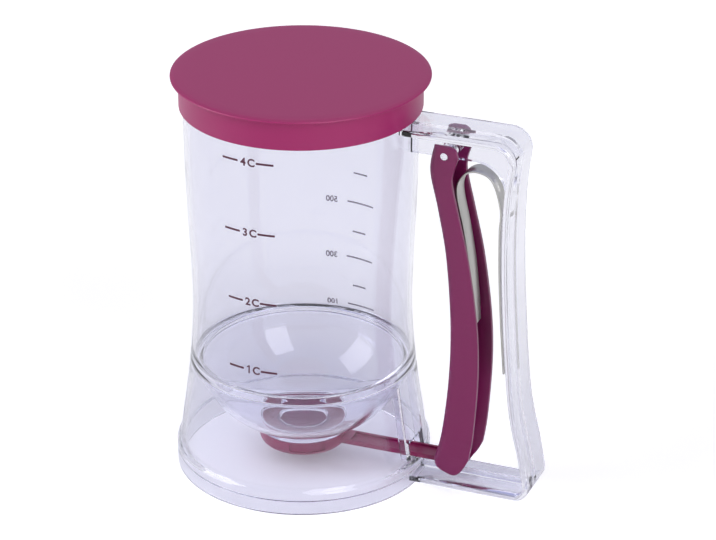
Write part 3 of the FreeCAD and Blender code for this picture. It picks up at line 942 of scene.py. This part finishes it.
def make_letters(name, word, azimuth, height, tall, material):
    curve = bpy.data.curves.new(name, "FONT")
    curve.body = word
    curve.align_x = "CENTER"
    curve.size = TYPE_SIZE
    curve.offset = TYPE_WEIGHT
    curve.extrude = INK_HALF
    text = bpy.data.objects.new(name, curve)
    bpy.context.collection.objects.link(text)
    bpy.context.view_layer.update()
    mesh = bpy.data.meshes.new_from_object(text.evaluated_get(bpy.context.evaluated_depsgraph_get()))
    bpy.data.objects.remove(text)
    sides = [vertex.co.x for vertex in mesh.vertices]
    ups = [vertex.co.y for vertex in mesh.vertices]
    scale = tall / (max(ups) - min(ups))
    centre = Vector(((max(sides) + min(sides)) / 2, (max(ups) + min(ups)) / 2, 0))
    for vertex in mesh.vertices:
        out = vertex.co.z
        vertex.co = (vertex.co - centre) * scale
        vertex.co.z = out
    letters = bpy.data.objects.new(name, mesh)
    bpy.context.collection.objects.link(letters)
    wrapped(name, letters, azimuth, height, material)


def make_dash(name, start, end, height, width, material):
    # A short line between two azimuths, in enough steps to follow the wall
    length = math.radians(end - start) * wall_radius(height)
    section = [(-1, -INK_HALF), (1, -INK_HALF), (1, INK_HALF), (-1, INK_HALF)]
    bm = bmesh.new()
    rings = []
    for step in range(DASH_STEPS + 1):
        across = (step / DASH_STEPS - 0.5) * length
        rings.append([bm.verts.new((across, up * width / 2, out)) for up, out in section])
    skin(bm, rings)
    dash = mesh_piece(name, bm, material)
    wrapped(name, dash, (start + end) / 2, height, material)


def make_one(name, azimuth, height, tall, material):
    bm = bmesh.new()
    back = [bm.verts.new((x * tall, y * tall, -INK_HALF)) for x, y in FIGURE_ONE]
    front = [bm.verts.new((x * tall, y * tall, INK_HALF)) for x, y in FIGURE_ONE]
    bm.faces.new(front)
    bm.faces.new(list(reversed(back)))
    band(bm, back, front)
    figure = mesh_piece(name, bm, material)
    wrapped(name, figure, azimuth, height, material)


def make_prints(maroon, grey):
    for digit, height in CUP_MARKS:
        if digit == "1":
            make_one("print_cup_1", CUP_DIGIT, height, CUP_LETTER_HEIGHT, maroon)
        else:
            make_letters("print_cup_" + digit, digit, CUP_DIGIT, height, CUP_LETTER_HEIGHT, maroon)
        make_letters("print_cup_" + digit + "_c", "C", CUP_LETTER, height, CUP_LETTER_HEIGHT, maroon)
        for side, (start, end) in zip(("left", "right"), CUP_DASHES):
            make_dash("print_cup_" + digit + "_" + side, start, end, height, LINE_WIDTH, maroon)
    for word, height in FAR_MARKS:
        make_letters("print_ml_" + word, word, FAR_TEXT, height, FAR_LETTER_HEIGHT, grey)
        make_dash("print_ml_" + word + "_tick", *FAR_TICK, height, TICK_WIDTH, grey)
    for number, height in enumerate(HALF_MARKS, 1):
        make_dash("print_ml_half_" + str(number), *HALF_TICK, height, TICK_WIDTH, grey)


# Studio

def make_camera():
    turn = math.radians(CAMERA_TURN)
    rise = math.radians(CAMERA_RISE)
    back = Vector((math.sin(turn) * math.cos(rise), -math.cos(turn) * math.cos(rise), math.sin(rise)))
    right = Vector((math.cos(turn), math.sin(turn), 0))
    data = bpy.data.cameras.new("camera")
    data.lens = CAMERA_LENS
    data.sensor_width = SENSOR_WIDTH
    camera = bpy.data.objects.new("camera", data)
    bpy.context.collection.objects.link(camera)
    camera.location = (Vector((0, 0, CAMERA_HEIGHT)) + right * CAMERA_SIDE + back * CAMERA_DISTANCE) * MM
    camera.rotation_euler = (-back).to_track_quat("-Z", "Y").to_euler()
    bpy.context.scene.camera = camera


def make_lamp(name, place, target, size, power, gleam_only):
    data = bpy.data.lights.new(name, "AREA")
    data.shape = "RECTANGLE"
    data.size, data.size_y = size
    data.energy = power
    lamp = bpy.data.objects.new(name, data)
    bpy.context.collection.objects.link(lamp)
    lamp.location = place
    lamp.rotation_euler = (Vector(target) - Vector(place)).to_track_quat("-Z", "Y").to_euler()
    if gleam_only:
        lamp.visible_diffuse = False
        lamp.visible_transmission = False


def make_world():
    # Soft light from all around. Through the plastic the sweep is white, and bluer and darker high up.
    # What the camera sees directly is white
    world = bpy.data.worlds.new("studio")
    bpy.context.scene.world = world
    world.use_nodes = True
    tree = world.node_tree
    tree.nodes.clear()
    path = add(tree, "ShaderNodeLightPath")
    place = add(tree, "ShaderNodeTexCoord")
    split = add(tree, "ShaderNodeSeparateXYZ", inputs={0: place.outputs["Generated"]})
    high = add(tree, "ShaderNodeMapRange", {"interpolation_type": "SMOOTHSTEP"}, {
        "Value": split.outputs["Z"], "From Min": SWEEP_FROM, "From Max": SWEEP_TO})
    fall = add(tree, "ShaderNodeMix", {"data_type": "RGBA"}, {
        "Factor": high.outputs["Result"], "A": linear("#f6f6fb"), "B": linear("#9fa2cf")})
    around = add(tree, "ShaderNodeBackground", inputs={"Color": linear("#e6e6f2"), "Strength": WORLD_GLOW})
    gloss = add(tree, "ShaderNodeBackground", inputs={"Color": linear("#dfe0f2"), "Strength": MIRRORED_GLOW})
    sweep = add(tree, "ShaderNodeBackground", inputs={"Color": fall.outputs["Result"], "Strength": 1.0})
    white = add(tree, "ShaderNodeBackground", inputs={"Color": linear("#ffffff"), "Strength": 1.0})
    mirrored = add(tree, "ShaderNodeMixShader", inputs={
        0: path.outputs["Is Glossy Ray"], 1: around.outputs["Background"], 2: gloss.outputs["Background"]})
    passed = add(tree, "ShaderNodeMixShader", inputs={
        0: path.outputs["Is Transmission Ray"], 1: mirrored.outputs["Shader"],
        2: sweep.outputs["Background"]})
    seen = add(tree, "ShaderNodeMixShader", inputs={
        0: path.outputs["Is Camera Ray"], 1: passed.outputs["Shader"], 2: white.outputs["Background"]})
    add(tree, "ShaderNodeOutputWorld", inputs={"Surface": seen.outputs["Shader"]})


def make_floor():
    # A white painted table top that runs past the view. It glows just enough to be seen white round
    # the shadow, and less through the plastic, so that the walls keep their pale tint. Through the plastic
    # that glow fades to nothing close to the jug, which is painted shade on the floor under and inside it
    made, tree = new_material("painted_white_board")
    path = add(tree, "ShaderNodeLightPath")
    watched = add(tree, "ShaderNodeMath", {"operation": "MAXIMUM"}, {
        0: path.outputs["Is Transmission Ray"], 1: path.outputs["Is Glossy Ray"]})
    _, bump = grain(tree, 3.0, 0.02)
    base = add(tree, "ShaderNodeBsdfDiffuse", inputs={
        "Color": linear("#f4f4f6"), "Normal": bump.outputs["Normal"]})
    none = add(tree, "ShaderNodeEmission", inputs={"Strength": 0.0})
    place = add(tree, "ShaderNodeTexCoord")
    away = add(tree, "ShaderNodeVectorMath", {"operation": "LENGTH"}, {0: place.outputs["Object"]})
    # Painted shade: seen through the plastic or mirrored, the floor's glow is nothing close to the jug and
    # grows further out
    rise = add(tree, "ShaderNodeMapRange", inputs={
        "Value": away.outputs["Value"], "From Min": FAINT_GLOW_FROM, "From Max": FAINT_GLOW_TO,
        "To Min": FLOOR_FAINT_GLOW, "To Max": FLOOR_FAR_GLOW})
    beyond = add(tree, "ShaderNodeMapRange", inputs={
        "Value": away.outputs["Value"], "From Min": FLOOR_GLOW_FROM, "From Max": FLOOR_GLOW_TO,
        "To Min": FLOOR_GLOW, "To Max": FLOOR_FULL_GLOW})
    glow = add(tree, "ShaderNodeEmission", inputs={
        "Color": linear("#ffffff"), "Strength": beyond.outputs["Result"]})
    faint = add(tree, "ShaderNodeEmission", inputs={
        "Color": linear("#ffffff"), "Strength": rise.outputs["Result"]})
    pick = add(tree, "ShaderNodeMixShader", inputs={
        0: watched.outputs["Value"], 1: none.outputs["Emission"], 2: faint.outputs["Emission"]})
    final = add(tree, "ShaderNodeMixShader", inputs={
        0: path.outputs["Is Camera Ray"], 1: pick.outputs["Shader"], 2: glow.outputs["Emission"]})
    both = add(tree, "ShaderNodeAddShader", inputs={0: base.outputs["BSDF"], 1: final.outputs["Shader"]})
    close(tree, both.outputs["Shader"])
    bm = bmesh.new()
    corners = [(-1, -1), (1, -1), (1, 1), (-1, 1)]
    bm.faces.new([bm.verts.new((x * FLOOR_SIZE, y * FLOOR_SIZE, 0)) for x, y in corners])
    floor = mesh_piece("floor", bm, made)


def dress(node, material):
    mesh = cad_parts[node].data
    mesh.materials.clear()
    mesh.materials.append(material)


def main():
    make_camera()
    make_world()
    make_floor()
    for lamp in LAMPS:
        make_lamp(*lamp)
    clear = clear_plastic()
    raspberry = satin_plastic("moulded_raspberry_pp", "#a81564", "#9e145e", 0.42)
    magenta = satin_plastic("moulded_magenta_pp", "#811657", "#781450", 0.36)
    make_jug(clear)
    make_lid(raspberry)
    make_trigger(magenta)
    make_spring(spring_strip())
    make_prints(ink("printed_maroon_ink", "#4f1532"), ink("printed_grey_ink", "#6a5a6a"))
    slide = satin_plastic("moulded_slide_pp", "#7f1249", "#760f43", 0.34)
    for node in ("valve_dish", "valve_arm", "link_pin"):
        dress(node, slide)
    dress("valve_seal", silicone())
    dress("pivot_axle", clear)
    bpy.context.scene.view_settings.view_transform = "Standard"
    light = bpy.context.scene.cycles
    light.max_bounces = LIGHT_BOUNCES
    light.glossy_bounces = GLOSS_BOUNCES
    light.transmission_bounces = LIGHT_BOUNCES
    light.transparent_max_bounces = CLEAR_BOUNCES


main()
